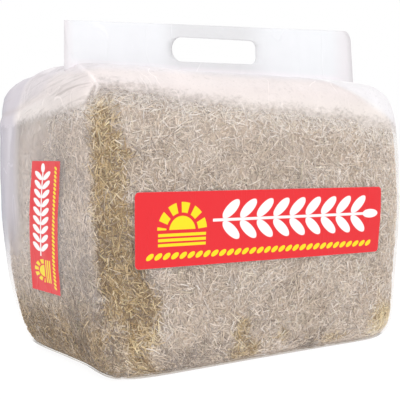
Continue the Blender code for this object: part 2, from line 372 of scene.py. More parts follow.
def outward(form, cube):
    """Unit normals of a form at cube points, from two small steps along its face."""
    facing = np.abs(cube).argmax(axis=-1)[..., None]
    step = 0.01
    here = form(cube)
    shifts = []
    for turn in (1, 2):
        moved = cube.copy()
        axis = (facing + turn) % 3
        np.put_along_axis(moved, axis, np.take_along_axis(cube, axis, -1) + step, -1)
        shifts.append(form(moved) - here)
    normal = np.cross(*shifts) * np.sign(np.take_along_axis(cube, facing, -1))
    return normal / (np.linalg.norm(normal, axis=-1, keepdims=True) + 1e-12)


def add_thing(name, data):
    thing = bpy.data.objects.new(name, data)
    bpy.context.scene.collection.objects.link(thing)
    return thing


def build_mesh(name, points, quads, triangles=()):
    """A mesh from arrays of points, four-sided faces and three-sided faces."""
    points = np.ascontiguousarray(points, dtype=np.float32).reshape(-1, 3)
    groups = (np.reshape(quads, (-1, 4)), np.reshape(triangles, (-1, 3)))
    loops = np.concatenate([group.ravel() for group in groups]).astype(np.int32)
    sizes = np.concatenate([np.full(len(group), group.shape[1]) for group in groups])
    starts = np.concatenate(([0], np.cumsum(sizes)[:-1])).astype(np.int32)
    mesh = bpy.data.meshes.new(name)
    mesh.vertices.add(len(points))
    mesh.vertices.foreach_set("co", points.ravel())
    mesh.loops.add(len(loops))
    mesh.loops.foreach_set("vertex_index", loops)
    mesh.polygons.add(len(sizes))
    mesh.polygons.foreach_set("loop_start", starts)
    mesh.update(calc_edges=True)
    mesh.validate()
    mesh.shade_smooth()
    return add_thing(name, mesh)


def grid_quads(rows, columns, first=0, closed=False):
    """Faces of a grid of points, wound to face along rows x columns.

    A closed grid goes on from its last row and column to the first ones.
    """
    index = first + np.arange(rows * columns).reshape(rows, columns)
    if closed:
        index = np.pad(index, (0, 1), mode="wrap")
    return np.stack((index[:-1, :-1], index[1:, :-1], index[1:, 1:], index[:-1, 1:]), axis=-1)


def weld(points, quads, step=1e-6):
    """Join points that lie on each other, so that the six grids close into one skin."""
    keys = np.round(points / step).astype(np.int64)
    _, first, same = np.unique(keys, axis=0, return_index=True, return_inverse=True)
    return points[first], same.ravel()[quads]


def six_grids(counts):
    """A welded cube skin whose lines crowd towards its edges, as cube points and faces."""
    points, quads, first = [], [], 0
    for side, (_, _, *axes) in SIDES.items():
        a, b = (np.sin(0.5 * math.pi * np.linspace(-1.0, 1.0, counts[axis] + 1))
                for axis in axes)
        cube = on_side(side, *np.meshgrid(a, b, indexing="ij"))
        points.append(cube.reshape(-1, 3))
        quads.append(grid_quads(len(a), len(b), first).reshape(-1, 4))
        first += len(a) * len(b)
    return weld(np.concatenate(points), np.concatenate(quads))


# Straw

STALK_SIDES = 3
STALK_SHORTEST = 0.003
STALK_LENGTH_SPREAD = 0.40
STALK_WIDTH = (0.0006, 0.0016)
STALK_FLATNESS = (0.30, 0.60)
STALK_BOW = 0.035
STALK_ROLL = 0.5
STALK_DEPTH = 0.0024
STALK_DEPTH_SPREAD = 0.0006
STALK_TONE = 0.52
DULL_SHARE = 0.22
# Each kind of stalk: name, how many on each of SIDES, rings, middle length, longest, seed
STALK_KINDS = (
    ("short_stalks_", (13000, 13000, 24000, 24000, 13000, 8000), 2, 0.0070, 0.016, SEED + 1),
    ("long_stalks_", (2000, 2000, 3500, 3500, 2000, 800), 3, 0.0130, 0.028, SEED + 11),
)
# The pressed mass lies this far under the stalks' form, and deeper by its hollows
CORE_DEPTH = 0.0020
CORE_HOLLOW = 0.0035


def straw_core():
    """The pressed mass behind the loose stalks: the straw's form with noisy hollows."""
    cube, quads = six_grids((90, 54, 70))
    place = straw_form(cube)
    golden = clear_places(cube, place)
    hollow = 0.5 * GRAIN(place, 0.040) + 0.5 * GRAIN(place + 3.0, 0.012)
    above = ease((place[:, 2] - STRAW_BASE) / 0.02)
    depth = CORE_DEPTH + CORE_HOLLOW * hollow * above
    place = place - outward(straw_form, cube) * depth[:, None]
    place[:, 2] = np.maximum(place[:, 2], STRAW_BASE)
    piece = build_mesh("straw_core", place, quads)
    paint(piece, "stalk_tone", 0.25 + 0.3 * hollow, 0.5, golden)
    return piece


def paint(piece, name, *values):
    """Up to three values for each point of a mesh, kept in a colour attribute."""
    colour = np.ones((len(piece.data.vertices), 4), dtype=np.float32)
    for channel, value in enumerate(values):
        colour[:, channel] = value
    layer = piece.data.color_attributes.new(name, "FLOAT_COLOR", "POINT")
    layer.data.foreach_set("color", colour.ravel())


def stalks(name, side, count, rings, middle_length, longest, seed):
    """Cut stalks laid on one side of the straw.

    Each has a random place and angle. Its rings lie on the straw's form and are pushed in
    by a depth that changes along it, so it bends round the edges and dips under its
    neighbours. A ring is a flat triangle with its ridge outwards.
    """
    rng = np.random.default_rng(seed)
    along, up = SIDES[side][2:]
    half = np.array((0.5 * BAG_WIDTH, 0.5 * BAG_DEPTH, 0.5 * BAG_HEIGHT))
    middle = rng.uniform(-1.0, 1.0, (count, 2))
    heading = rng.uniform(0.0, math.pi, count)
    length = rng.lognormal(math.log(middle_length), STALK_LENGTH_SPREAD, count)
    length = np.clip(length, STALK_SHORTEST, longest)
    width = rng.uniform(*STALK_WIDTH, count)
    thick = width * rng.uniform(*STALK_FLATNESS, count)
    bow = rng.normal(0.0, STALK_BOW, count) * length
    run = np.linspace(-0.5, 0.5, rings)[None, :] * length[:, None]
    side_step = bow[:, None] * (1.0 - (2.0 * run / length[:, None]) ** 2)
    cos, sin = np.cos(heading)[:, None], np.sin(heading)[:, None]
    a = middle[:, :1] + (cos * run - sin * side_step) / half[along]
    b = middle[:, 1:] + (sin * run + cos * side_step) / half[up]
    cube = on_side(side, a, b)
    centre = straw_form(cube)
    normal = outward(straw_form, cube)
    golden = clear_places(cube[:, 0], centre[:, 0])
    depth = rng.uniform(0.0, STALK_DEPTH, count)[:, None]
    depth = depth + rng.normal(0.0, STALK_DEPTH_SPREAD, (count, rings))
    depth = depth + 0.0010 * GRAIN(centre, 0.030)
    depth = depth * (0.35 + 0.65 * ease((centre[..., 2] - 0.004) / 0.020))
    depth = np.maximum(depth, 0.5 * thick[:, None])
    centre = centre - normal * depth[..., None]
    tangent = unit(np.gradient(centre, axis=1))
    across = unit(np.cross(tangent, normal))
    lift = np.cross(across, tangent)
    roll = rng.uniform(-STALK_ROLL, STALK_ROLL, count)[:, None]
    corners = []
    for corner in range(STALK_SIDES):
        angle = roll + 0.5 * math.pi + 2.0 * math.pi * corner / STALK_SIDES
        sideways = 0.5 * width[:, None] * np.cos(angle)
        upwards = 0.5 * thick[:, None] * np.sin(angle)
        corners.append(centre + across * sideways[..., None] + lift * upwards[..., None])
    points = np.stack(corners, axis=2)
    points[..., 2] = np.maximum(points[..., 2], STRAW_BASE)
    index = np.arange(count * rings * STALK_SIDES).reshape(count, rings, STALK_SIDES)
    turned = np.roll(index, -1, axis=2)
    quads = np.stack((index[:, :-1], turned[:, :-1], turned[:, 1:], index[:, 1:]), axis=-1)
    ends = np.concatenate((index[:, 0, ::-1], index[:, -1]))
    piece = build_mesh(name, points, quads, ends)
    spread = 1.0 - 0.25 * on_left(cube[:, 0], centre[:, 0])
    tone = STALK_TONE + spread * (rng.beta(2.2, 2.0, count) - STALK_TONE)
    light = stalk_light(cube[:, 0], centre[:, 0])
    dull = rng.random(count) < DULL_SHARE
    # The painted light and shade go into each stalk's tone; dull stalks take less of the light
    tone = tone + np.where(light > 0.0, np.where(dull, 0.25, 1.15), 1.0) * light
    tone = tone + 0.24 * (GRAIN(centre[:, 0] + 6.0, 0.028) - 0.5)
    shares = np.clip(golden + rng.normal(0.0, 0.18, count), 0.0, 1.0)
    each = rings * STALK_SIDES
    paint(piece, "stalk_tone", np.repeat(tone, each), np.repeat(rng.random(count), each),
          np.repeat(shares, each))
    return piece


# Film

# The gusset's outer fold at the left end, from the header's foot over the near top corner:
# how far round the top edge a point is, and the x of the fold there
FOLD_WAY = (0.0, 0.0576, 0.0812, 0.0976, 0.1089, 0.1146)
FOLD_X = (-0.1740, -0.1875, -0.1907, -0.1897, -0.1934, -0.1971)
# The crease across the left end: its height at y = 0 and its fall to the rear
LEFT_CREASE = (0.2683, 0.124)
# The crease along the right of the front's top edge, as x and z
RIGHT_CREASE_X = (0.080, 0.1106, 0.1321, 0.1540, 0.1729, 0.1900)
RIGHT_CREASE_Z = (0.292, 0.2842, 0.2769, 0.2678, 0.2535, 0.2360)
# The film's relief
DENT = 0.0008
FOLD = 0.0022
PLEAT = 0.0024
FOLD_STEP = 0.0028
PILLOW = 0.0042
CREASE_SWELL = 0.0012
CREASE_DIP = 0.0008
# How much of the film shows, from everywhere to where it hangs free
HAZE = 0.11
# A painted highlight: more of the film shows higher up
HIGHLIGHT_HAZE = 0.04
LEFT_HAZE = 0.11
REAR_HAZE = 0.10
RIGHT_HAZE = 0.20
CREASE_HAZE = 0.16
# A painted highlight along the edge of the fold at the left top
FOLD_HIGHLIGHT = 0.22
FREE_HAZE = 0.80
# The straight edge of the free film at the far top corner: z + slope * x = level
CORNER_SLOPE = 0.493
CORNER_LEVEL = 0.336


def film_skin():
    """The bag's film: its form with folds, creases and dents, and how hazy it is.

    Dents show the straw where the film clings. Folds run up the rear of the left end and
    pleats fan out under the header, where the film hangs free. At the left top the front
    film stands proud of the tucked gusset, and one crease crosses each end's top. Each
    point keeps its haze, its cool tint with painted shade, its painted shade in creases,
    under the header's foot and on the left shoulder, its share of the milky shoulder, which
    is partly a painted reflection, and its part in the painted contact shadow along the
    base's edge, the far corner and the left top.
    """
    cube, quads = six_grids((170, 96, 124))
    place = film_form(cube)
    normal = outward(film_form, cube)
    x, y, z = place.T
    dents = DENT * (GRAIN(place, 0.022) + 0.6 * GRAIN(place + 5.0, 0.009))
    free_left = ease((-0.150 - x) / 0.04) * ease((y + 0.02) / 0.08)
    free_top = ease((z - 0.262) / 0.02)
    upright = place * np.array((1.0, 1.0, 0.12))
    folds = np.abs(GRAIN(upright + 2.0, 0.010) - 0.5)
    fan = np.stack((x + 0.9 * (z - 0.28), 0.3 * y, 0.25 * z), axis=-1)
    pleats = np.abs(GRAIN(fan + 7.0, 0.012) - 0.5)
    raised = dents + FOLD * free_left * (0.5 - folds) + PLEAT * free_top * (0.5 - pleats)
    # The fold at the left top and the small pillow behind it
    way = np.clip(RIDGE_Y - y, 0.0, None) + np.clip(0.3006 - z, 0.0, None)
    past_fold = x - np.interp(way, FOLD_WAY, FOLD_X)
    by_fold = ease((0.125 - way) / 0.02) * ease((z - 0.245) / 0.02) * ease((-0.05 - x) / 0.06)
    by_fold *= ease((RIDGE_Y + 0.01 - y) / 0.02)
    raised += FOLD_STEP * by_fold * ease(past_fold / 0.0016 + 0.5)
    pillow = np.exp(-((x + 0.165) / 0.030) ** 2 - ((y - 0.010) / 0.035) ** 2)
    raised += PILLOW * pillow * free_top
    # The creases across the two ends' tops
    left = on_left(cube, place)
    over_left = z - (LEFT_CREASE[0] - LEFT_CREASE[1] * y)
    left_line = np.exp(-(over_left / 0.0030) ** 2) * left * ease((y + 0.05) / 0.03)
    raised += CREASE_SWELL * left * np.exp(-((over_left + 0.010) / 0.008) ** 2)
    raised -= CREASE_DIP * left_line
    front = ease((-0.085 - y) / 0.015)
    over_right = z - np.interp(x, RIGHT_CREASE_X, RIGHT_CREASE_Z)
    right_part = ease((x - 0.075) / 0.04) * front
    right_line = np.exp(-(over_right / 0.0030) ** 2) * right_part
    raised += CREASE_SWELL * right_part * ease(-over_right / 0.004 + 0.5) * free_top
    raised *= ease(z / 0.012)
    piece = build_mesh("film_bag", place + normal * raised[:, None], quads)
    # Haze: least where the film clings, most up the shoulder
    cloud = GRAIN(place + 1.0, 0.035) - 0.5
    fine = GRAIN(place + 8.0, 0.008) - 0.5
    clear = clear_places(cube, place)
    edge = round_edge(cube)
    share = shoulder_share(cube, place)
    end_right = ease((x - 0.190) / 0.010)
    rear = left * (0.5 * ease((-0.015 - edge) / 0.070) + 0.5 * ease((y + 0.030) / 0.022))
    above_base = ease((z - 0.030) / 0.110)
    # The last term is a painted highlight, whitening the film towards the top
    haze = HAZE + 0.08 * cloud + 0.04 * fine + HIGHLIGHT_HAZE * ease((z - 0.170) / 0.090)
    haze = haze * (1.0 - 0.50 * clear) + (LEFT_HAZE * left + REAR_HAZE * rear) * above_base
    by_front = 0.25 + 0.75 * ease((-0.080 - y) / 0.020)
    haze += RIGHT_HAZE * end_right * by_front * (1.0 - clear) + CREASE_HAZE * left_line
    # Painted highlight along the fold's edge at the left top
    haze += FOLD_HIGHLIGHT * by_fold * np.exp(-((past_fold - 0.001) / 0.0018) ** 2)
    free = left * ease((z - 0.060) / 0.110)
    haze = np.maximum(haze, FREE_HAZE * free * ease((y - 0.020) / 0.040))
    above_left = left * ease(over_left / 0.008) * ease((y + 0.035) / 0.030)
    # A cooler, darker veil: the film's own cool tint, with painted shade on the left end and its
    # gusset and above the ends' creases
    cool_and_shaded = np.clip((0.26 * left + 0.16 * rear) * above_base * (1.0 - 0.7 * share)
                   + free * ease((y - 0.040) / 0.030) + 0.50 * above_left
                   + 0.30 * right_part * ease(over_right / 0.004), 0.0, 1.0)
    # Painted shade: in the creases across the ends, under the header's foot and on the left
    # shoulder
    ridge_foot = np.exp(-((y - RIDGE_Y + 0.007) / 0.006) ** 2) * free_top
    shade = np.clip(0.35 * left_line + 0.15 * right_line + 0.08 * ridge_foot
                    + 0.14 * share * left, 0.0, 1.0)
    paint(piece, "film_tone", np.clip(haze, 0.02, 0.90), cool_and_shaded, shade)
    # The shoulder's share: milky film standing off the straw, with a painted reflection
    paint(piece, "film_milk", share, 1.0 - 0.15 * left)
    # Painted contact shadow along the base's edge, the free far corner and the place of the
    # slanting folds
    inner = np.sort(np.abs(cube), axis=-1)[:, 1]
    base_shadow = np.where(cube[:, 2] > -0.999, 1.0, ease((inner - 0.90) / 0.06))
    base_shadow *= ease((0.008 + 0.002 * left - z) / 0.005)
    corner = ease((z + CORNER_SLOPE * x - CORNER_LEVEL) / 0.009)
    paint(piece, "film_place", base_shadow, corner, left * ease((z - 0.246) / 0.014))
    return piece


def rounded_outline(corners, radii, steps=10):
    """Corner points joined by straight runs, each corner an arc of its own radius."""
    points = []
    corners = np.array(corners)
    to_last = unit(np.roll(corners, 1, axis=0) - corners)
    to_next = unit(np.roll(corners, -1, axis=0) - corners)
    for corner, before, after, radius in zip(corners, to_last, to_next, radii):
        if radius == 0.0:
            points.append(corner)
            continue
        half_angle = 0.5 * math.acos(float(np.dot(before, after)))
        centre = corner + unit(before + after) * radius / math.sin(half_angle)
        start = corner + before * radius / math.tan(half_angle) - centre
        end = corner + after * radius / math.tan(half_angle) - centre
        turn = math.atan2(start[0] * end[1] - start[1] * end[0], float(np.dot(start, end)))
        for step in range(steps + 1):
            angle = turn * step / steps
            cos, sin = math.cos(angle), math.sin(angle)
            points.append(centre + np.array((cos * start[0] - sin * start[1],
                                             sin * start[0] + cos * start[1])))
    return np.array(points)


def even_points(outline, angles, centre):
    """Where rays from the centre at the given angles cross a closed outline."""
    rel = outline - centre
    edge = np.roll(rel, -1, axis=0) - rel
    ray = np.stack((np.cos(angles), np.sin(angles)), axis=-1)
    cross = ray[:, None, 0] * edge[:, 1] - ray[:, None, 1] * edge[:, 0]
    cross = np.where(np.abs(cross) < 1e-12, 1e-12, cross)
    reach = (rel[:, 0] * edge[:, 1] - rel[:, 1] * edge[:, 0]) / cross
    share = (rel[:, 0] * ray[:, None, 1] - rel[:, 1] * ray[:, None, 0]) / cross
    good = (reach > 0.0) & (share >= -1e-6) & (share <= 1.0 + 1e-6)
    reach = np.where(good, reach, np.inf).min(axis=1)
    return centre + ray * reach[:, None]


def ridge_line():
    """The film's ridge under the header, as places along X and their heights."""
    along = np.linspace(-RIDGE_SAMPLED, RIDGE_SAMPLED, RIDGE_SAMPLES)
    level = np.full_like(along, RIDGE_Y / (0.5 * BAG_DEPTH))
    ridge = film_form(np.stack((along, level, np.ones_like(along)), axis=-1))
    return ridge[:, 0], ridge[:, 2]


def header_film():
    """The flat sealed top of the bag: a thin double film round the hand slot.

    Rays from the slot's middle cross the slot's edge and the header's edge. The face is
    ruled between the two, and carried round from the front face to the back face.
    """
    ridge_x, ridge_z = ridge_line()
    stations = np.linspace(HEADER_LEFT - 0.0006, HEADER_RIGHT + 0.0005, 40)
    sunk = np.interp(stations, ridge_x, ridge_z) - HEADER_SINK
    corners = list(zip(stations, sunk))
    corners += [(HEADER_RIGHT - HEADER_LEAN, HEADER_TOP_RIGHT), (HEADER_LEFT, HEADER_TOP_LEFT)]
    outer = rounded_outline(corners, [0.0] * len(stations) + [HEADER_CORNER, 0.0])
    box = np.array(((-0.5, -0.5), (0.5, -0.5), (0.5, 0.5), (-0.5, 0.5)))
    slot = rounded_outline(box * (SLOT_LENGTH, SLOT_HEIGHT), SLOT_RADII)
    cos, sin = math.cos(SLOT_TILT), math.sin(SLOT_TILT)
    centre = np.array(SLOT_CENTRE)
    slot = slot @ np.array(((cos, sin), (-sin, cos))) + centre
    marks = np.concatenate((outer, slot)) - centre
    angles = np.unique(np.round(np.concatenate((
        np.arctan2(marks[:, 1], marks[:, 0]), np.linspace(-math.pi, math.pi, 240)[:-1])), 4))
    outer_ring = even_points(outer, angles, centre)
    slot_ring = even_points(slot, angles, centre)
    shares = np.linspace(0.0, 1.0, 14)[:, None, None]
    face = slot_ring[None] * (1.0 - shares) + outer_ring[None] * shares
    x, z = face[..., 0], face[..., 1]
    up = np.clip((z - 0.300) / 0.06, 0.0, 1.0)
    wave = HEADER_WAVE * up * (GRAIN(np.stack((x, 0.0 * x, 0.3 * z), axis=-1), 0.060) - 0.5)
    curl = HEADER_CURL * up * ease((x - 0.150) / 0.05) ** 2
    y = RIDGE_Y + wave + curl
    front = np.stack((x, y - 0.5 * HEADER_FILM, z), axis=-1)
    back = np.stack((x, y + 0.5 * HEADER_FILM, z), axis=-1)[::-1]
    sheet = np.concatenate((front, back))
    return build_mesh("header_film", sheet, grid_quads(*sheet.shape[:2], closed=True))


# Shader helpers

class Nodes:
    """Short calls for the nodes of one tree."""

    def __init__(self, tree):
        self.tree = tree

    def new(self, kind, **settings):
        node = self.tree.nodes.new(kind)
        for name, value in settings.items():
            setattr(node, name, value)
        return node

    def feed(self, socket, value):
        if isinstance(value, bpy.types.NodeSocket):
            self.tree.links.new(value, socket)
        else:
            socket.default_value = value

    def fill(self, node, **values):
        """Feed a node's inputs by label, with _ for a space. Returns the node."""
        for label, value in values.items():
            self.feed(node.inputs[label.replace("_", " ")], value)
        return node

    def math(self, operation, *values, clamp=False):
        node = self.new("ShaderNodeMath", operation=operation, use_clamp=clamp)
        for socket, value in zip(node.inputs, values):
            self.feed(socket, value)
        return node.outputs[0]

    def plus(self, first, second, clamp=False):
        return self.math("ADD", first, second, clamp=clamp)

    def minus(self, first, second):
        return self.math("SUBTRACT", first, second)

    def times(self, first, second):
        return self.math("MULTIPLY", first, second)

    def larger(self, first, second):
        return self.math("MAXIMUM", first, second)

    def apart(self, first, second):
        """The distance between two values."""
        return self.math("ABSOLUTE", self.minus(first, second))

    def span(self, value, low, high, to_low=0.0, to_high=1.0):
        node = self.new("ShaderNodeMapRange", interpolation_type="SMOOTHSTEP")
        for socket, item in zip(node.inputs, (value, low, high, to_low, to_high)):
            self.feed(socket, item)
        return node.outputs[0]

    def mix(self, share, first, second):
        node = self.new("ShaderNodeMix", data_type="RGBA")
        self.feed(node.inputs[0], share)
        self.feed(node.inputs[6], first)
        self.feed(node.inputs[7], second)
        return node.outputs[2]

    def place(self):
        """Object coordinates, and their x, y and z."""
        where = self.new("ShaderNodeTexCoord").outputs["Object"]
        return where, *self.fill(self.new("ShaderNodeSeparateXYZ"), Vector=where).outputs

    def point(self, x, y, z=0.0):
        return self.fill(self.new("ShaderNodeCombineXYZ"), X=x, Y=y, Z=z).outputs[0]

    def noise(self, where, scale, detail=2.0, roughness=0.5, stretch=None, distortion=0.0):
        if stretch is not None:
            turn = self.fill(self.new("ShaderNodeMapping"), Scale=stretch, Vector=where)
            where = turn.outputs[0]
        node = self.fill(self.new("ShaderNodeTexNoise"), Vector=where, Scale=scale,
                         Detail=detail, Roughness=roughness, Distortion=distortion)
        return node.outputs["Fac"]

    def painted(self, name):
        """The three values that a mesh keeps for each point."""
        tint = self.new("ShaderNodeVertexColor", layer_name=name).outputs["Color"]
        return self.fill(self.new("ShaderNodeSeparateColor"), Color=tint).outputs[:]

    def ramp(self, value, stops):
        node = self.fill(self.new("ShaderNodeValToRGB"), Fac=value)
        band = node.color_ramp
        while len(band.elements) < len(stops):
            band.elements.new(0.5)
        for element, (at, colour) in zip(band.elements, stops):
            element.position = at
            element.color = colour
        return node.outputs[0]


def linear(red, green, blue):
    """A screen colour from 0 to 255 as linear light, with full alpha."""
    return tuple(((c / 255.0 + 0.055) / 1.055) ** 2.4 for c in (red, green, blue)) + (1.0,)


def new_material(name):
    material = bpy.data.materials.new(name)
    material.use_nodes = True
    shader = material.node_tree.nodes["Principled BSDF"]
    return material, Nodes(material.node_tree), shader


def new_group(name, inputs, values, colours=()):
    """A node group with named value inputs, and named outputs of values and colours."""
    tree = bpy.data.node_groups.new(name, "ShaderNodeTree")
    for way, kind, labels in (("INPUT", "Float", inputs), ("OUTPUT", "Float", values),
                              ("OUTPUT", "Color", colours)):
        for label in labels:
            tree.interface.new_socket(label, in_out=way, socket_type="NodeSocket" + kind)
    nodes = Nodes(tree)
    return tree, nodes, nodes.new("NodeGroupInput"), nodes.new("NodeGroupOutput")


def band(n, value, low, high, soft=0.010):
    """1 where a value lies between low and high, with a thin soft edge."""
    rises = n.span(value, low, n.plus(low, soft))
    falls = n.span(value, high, n.plus(high, soft), 1.0, 0.0)
    return n.times(rises, falls)


def ellipse(n, u, v, long, high):
    """1 inside an ellipse of the given half length and half height."""
    ring = n.plus(n.math("POWER", n.math("DIVIDE", u, long), 2.0),
                  n.math("POWER", n.math("DIVIDE", v, high), 2.0))
    return n.span(ring, 0.88, 1.12, 1.0, 0.0)


def grain_row(n, p, q, start, pitch, level, rise_at, slant, size):
    """Slanted grains in one row, or in two mirrored rows where rise_at is above 0."""
    cell = n.minus(n.math("MODULO", n.minus(p, start), pitch), 0.5 * pitch)
    off = n.minus(q, level)
    rise = n.minus(n.math("ABSOLUTE", off), rise_at) if rise_at > 0.0 else off
    cos, sin = math.cos(slant), math.sin(slant)
    u = n.plus(n.times(cell, cos), n.times(rise, sin))
    v = n.minus(n.times(rise, cos), n.times(cell, sin))
    return ellipse(n, u, v, *size)


# The print's layout in panel heights: p runs along the panel and q up it
PANEL_LENGTH = FRONT_PANEL[2] / FRONT_PANEL[3]
EAR_START = 1.36
EAR_PITCH = 0.29
EAR_GRAINS = 9
EAR_LEVEL = 0.60
STEM_BEFORE = 0.16
GRAIN_RISE = 0.145
GRAIN_SIZE = (0.180, 0.074)
GRAIN_SLANT = math.radians(40.0)
TIP_AFTER = 0.10
TIP_SIZE = (0.15, 0.065)
SUN_AT = (0.72, 0.47)
SUN_REACH = 0.200
RAY_REACH = (0.245, 0.385)
RAY_TURNS = 5.5
FURROW_PITCH = 0.066
TRIM_START = 0.16
TRIM_LEVEL = 0.150
TRIM_PITCH = 0.128
TRIM_SIZE = (0.066, 0.034)
TRIM_SLANT = math.radians(32.0)


def panel_print_group():
    """The print of one red panel, from the place along and up it in metres.

    Ink is 1 inside the rounded panel. The colour is red, with a long white ear of grain,
    a yellow sun over furrows before it, and a row of small yellow seeds along the foot.
    """
    tree, n, given, result = new_group(
        "panel_print", ("Along", "Up", "Length", "Height", "Corner"), ("Ink",), ("Colour",))
    along, up, length, height, corner = given.outputs[:5]
    over = []
    for place, size in ((along, length), (up, height)):
        half = n.times(size, 0.5)
        past = n.minus(n.apart(place, half), half)
        over.append(n.math("POWER", n.larger(n.plus(past, corner), 0.0), 2.0))
    reach = n.minus(n.math("SQRT", n.plus(over[0], over[1])), corner)
    ink = n.span(reach, 0.0003, -0.0003)
    p = n.times(n.math("DIVIDE", along, length), PANEL_LENGTH)
    q = n.math("DIVIDE", up, height)
    ear_end = EAR_START + EAR_GRAINS * EAR_PITCH
    in_ear = band(n, p, EAR_START, ear_end, 0.004)
    stem = n.times(band(n, p, EAR_START - STEM_BEFORE, ear_end + 0.02),
                   n.span(n.apart(q, EAR_LEVEL), 0.014, 0.024, 1.0, 0.0))
    grains = n.times(in_ear, grain_row(
        n, p, q, EAR_START, EAR_PITCH, EAR_LEVEL, GRAIN_RISE, GRAIN_SLANT, GRAIN_SIZE))
    tip = ellipse(n, n.minus(p, ear_end + TIP_AFTER), n.minus(q, EAR_LEVEL), *TIP_SIZE)
    white = n.larger(n.larger(stem, grains), tip)
    # The sun: a half disc with rays, over three furrows
    dp = n.minus(p, SUN_AT[0])
    dq = n.minus(q, SUN_AT[1])
    spread = n.math("SQRT", n.plus(n.math("POWER", dp, 2.0), n.math("POWER", dq, 2.0)))
    above = n.span(dq, 0.02, 0.03)
    disc = n.times(n.span(spread, SUN_REACH, SUN_REACH + 0.01, 1.0, 0.0), above)
    turn = n.times(n.math("ARCTAN2", dq, dp), RAY_TURNS)
    spokes = n.span(n.math("ABSOLUTE", n.math("SINE", turn)), 0.50, 0.62)
    rays = n.times(n.times(spokes, band(n, spread, *RAY_REACH)), above)
    in_row = n.math("MODULO", n.plus(dq, 1.0), FURROW_PITCH)
    rows = n.span(n.apart(in_row, 0.5 * FURROW_PITCH), 0.017, 0.023, 1.0, 0.0)
    furrows = n.times(n.times(rows, band(n, dq, -0.20, -0.02)),
                      n.span(n.math("ABSOLUTE", dp), 0.37, 0.38, 1.0, 0.0))
    sun = n.larger(n.larger(disc, rays), furrows)
    trim = n.times(band(n, p, TRIM_START, PANEL_LENGTH - 0.18, 0.004), grain_row(
        n, p, q, TRIM_START, TRIM_PITCH, TRIM_LEVEL, 0.0, TRIM_SLANT, TRIM_SIZE))
    colour = n.mix(n.larger(sun, trim), RED_INK, YELLOW_INK)
    n.fill(result, Ink=ink, Colour=n.mix(white, colour, WHITE_INK))
    return tree


def dry_fibre_group():
    """Fine lengthways fibre and dust of dry straw, as a value round 0.5."""
    tree, n, given, result = new_group("dry_fibre", ("Scale", "Dust"), ("Value", "Height"))
    where = n.place()[0]
    fine = n.noise(where, given.outputs["Scale"], 3.0)
    broad = n.noise(where, 38.0, 3.0, 0.6)
    share = n.times(given.outputs["Dust"], n.minus(broad, 0.5))
    n.fill(result, Value=n.plus(fine, share), Height=fine)
    return tree


def film_crinkle_group():
    """Fine creases of thin film: painted highlight lines where a stretched noise crosses its
    middle.
    """
    tree, n, given, result = new_group(
        "film_crinkle", ("Scale", "Rise", "Width"), ("Lines", "Height"))
    where, x, y, z = n.place()
    stretched = n.point(x, y, n.times(z, given.outputs["Rise"]))
    noise = n.noise(stretched, given.outputs["Scale"], distortion=0.4)
    lines = n.span(n.apart(noise, 0.5), 0.0, given.outputs["Width"], 1.0, 0.0)
    breaks = n.span(n.noise(where, 26.0, 1.0), 0.48, 0.62)
    n.fill(result, Lines=n.times(lines, breaks), Height=n.plus(noise, n.times(lines, 0.3)))
    return tree


def use_group(n, tree, **values):
    return n.fill(n.new("ShaderNodeGroup", node_tree=tree), **values)


def add_bump(n, shader, height, strength, distance):
    bump = n.fill(n.new("ShaderNodeBump"), Strength=strength, Distance=distance, Height=height)
    n.feed(shader.inputs["Normal"], bump.outputs[0])


def straw_colour(n, value, golden):
    """Straw's colour from dark to light: bleached straw, or golden straw by its share."""
    return n.mix(golden, n.ramp(value, BLEACHED_STRAW), n.ramp(value, GOLDEN_STRAW))


GREEN_STRAW = linear(176, 172, 128)
GREY_STRAW = linear(176, 168, 170)
RED_INK = linear(222, 34, 42)
YELLOW_INK = linear(240, 216, 16)
WHITE_INK = linear(244, 243, 242)
BLEACHED_STRAW = (
    (0.02, linear(142, 124, 108)), (0.25, linear(204, 185, 166)), (0.48, linear(230, 211, 193)),
    (0.70, linear(246, 230, 215)), (0.95, linear(255, 246, 238)))
GOLDEN_STRAW = (
    (0.02, linear(126, 101, 70)), (0.25, linear(169, 138, 91)), (0.48, linear(207, 177, 128)),
    (0.70, linear(231, 207, 163)), (0.95, linear(253, 234, 192)))


def stalk_material(fibre):
    """Dry cut stalks: a tone with painted light and shade and a hue for each stalk, fibre, dust
    and dull shine.
    """
    material, n, shader = new_material("straw_stalks")
    # The stalks' tone carries painted light and shade
    tone, hue, golden = n.painted("stalk_tone")
    look = use_group(n, fibre, Scale=1100.0, Dust=0.5)
    value = n.plus(tone, n.times(n.minus(look.outputs["Value"], 0.5), 0.4), clamp=True)
    colour = straw_colour(n, value, golden)
    colour = n.mix(n.span(hue, 0.90, 0.97, 0.0, 0.30), colour, GREEN_STRAW)
    colour = n.mix(n.span(hue, 0.16, 0.08, 0.0, 0.35), colour, GREY_STRAW)
    rough = n.span(look.outputs["Value"], 0.2, 0.8, 0.50, 0.75)
    n.fill(shader, Base_Color=colour, Roughness=rough, Specular_IOR_Level=0.3)
    add_bump(n, shader, look.outputs["Height"], 0.3, 0.0003)
    return material


def core_material(fibre):
    """The shaded mass behind the stalks, streaked in many directions."""
    material, n, shader = new_material("straw_core")
    where = n.place()[0]
    tone, _, golden = n.painted("stalk_tone")
    look = use_group(n, fibre, Scale=500.0, Dust=0.8)
    streak = n.noise(where, 160.0, 4.0, 0.7, (1.0, 0.2, 0.5))
    value = n.plus(n.times(tone, 0.5), n.times(n.plus(look.outputs["Value"], streak), 0.2))
    n.fill(shader, Base_Color=straw_colour(n, value, golden),
           Roughness=n.span(streak, 0.2, 0.8, 0.8, 0.95))
    add_bump(n, shader, streak, 1.0, 0.001)
    return material


